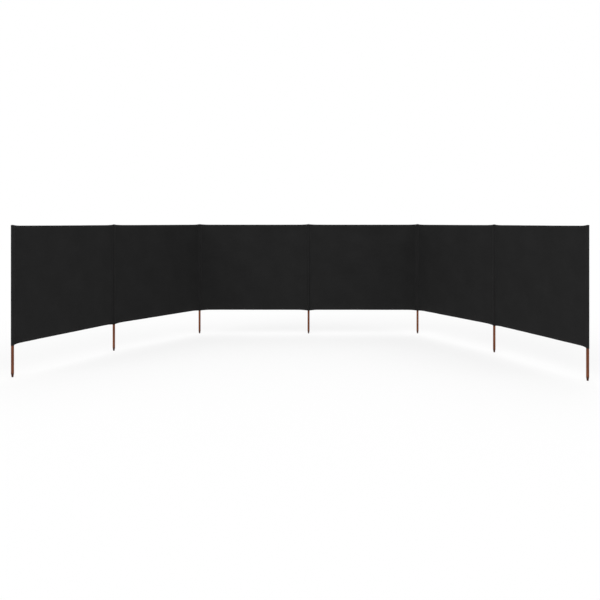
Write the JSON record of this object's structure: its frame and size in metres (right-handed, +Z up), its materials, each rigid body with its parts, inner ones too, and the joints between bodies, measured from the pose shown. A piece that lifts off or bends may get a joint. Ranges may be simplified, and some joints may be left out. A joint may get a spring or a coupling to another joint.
{
  "type": "beach windbreak",
  "caption": "Beach windbreak: a long low wall of dark cloth on round wooden stakes in sewn pockets, with wings that turn forward at both ends.",
  "frame": {"origin": "centre of the blunt end of the fourth stake, where it stands on the ground", "axes": "+Z up the stakes, +X along the two middle bays to the right as seen from the sheltered side, -Y towards the sheltered side, to which the wings turn"},
  "size_m": [5.6459, 2.7925, 1.5015],
  "materials": {
    "stake": "stained and varnished, reddish brown",
    "cloth": "matt plain weave, near black",
    "hem": "matt plain weave, folded double and stitched",
    "pocket": "matt plain weave, folded double and stitched"
  },
  "bodies": {
    "bay_3": {"panel_3": "cloth", "top_hem_3": "hem", "bottom_hem_3": "hem", "stake_3": "stake", "pocket_3": "pocket", "stake_4": "stake", "pocket_4": "pocket"},
    "bay_1": {"panel_1": "cloth", "top_hem_1": "hem", "bottom_hem_1": "hem", "stake_1": "stake", "pocket_1": "pocket"},
    "bay_2": {"panel_2": "cloth", "top_hem_2": "hem", "bottom_hem_2": "hem", "stake_2": "stake", "pocket_2": "pocket"},
    "bay_4": {"panel_4": "cloth", "top_hem_4": "hem", "bottom_hem_4": "hem", "stake_5": "stake", "pocket_5": "pocket"},
    "bay_5": {"panel_5": "cloth", "top_hem_5": "hem", "bottom_hem_5": "hem", "stake_6": "stake", "pocket_6": "pocket"},
    "bay_6": {"panel_6": "cloth", "top_hem_6": "hem", "bottom_hem_6": "hem", "stake_7": "stake", "pocket_7": "pocket"}
  },
  "joints": [
    {"name": "fold_3", "type": "hinge", "parent": "bay_3", "child": "bay_2", "pos_m": [-1.5, 0, 0.9], "axis": [0, 0, 1], "range_deg": [-206.2, 93.8]},
    {"name": "fold_2", "type": "hinge", "parent": "bay_2", "child": "bay_1", "pos_m": [-2.33444, -1.24648, 0.9], "axis": [0, 0, -1], "range_deg": [-140.7, 159.3]},
    {"name": "fold_4", "type": "hinge", "parent": "bay_3", "child": "bay_4", "pos_m": [0, 0, 0.9], "axis": [0, 0, 1], "range_deg": [-90, 150]},
    {"name": "fold_5", "type": "hinge", "parent": "bay_4", "child": "bay_5", "pos_m": [1.5, 0, 0.9], "axis": [0, 0, -1], "range_deg": [-213.6, 86.4]},
    {"name": "fold_6", "type": "hinge", "parent": "bay_5", "child": "bay_6", "pos_m": [2.16695, -1.34357, 0.9], "axis": [0, 0, 1], "range_deg": [-142.7, 157.3]}
  ]
}
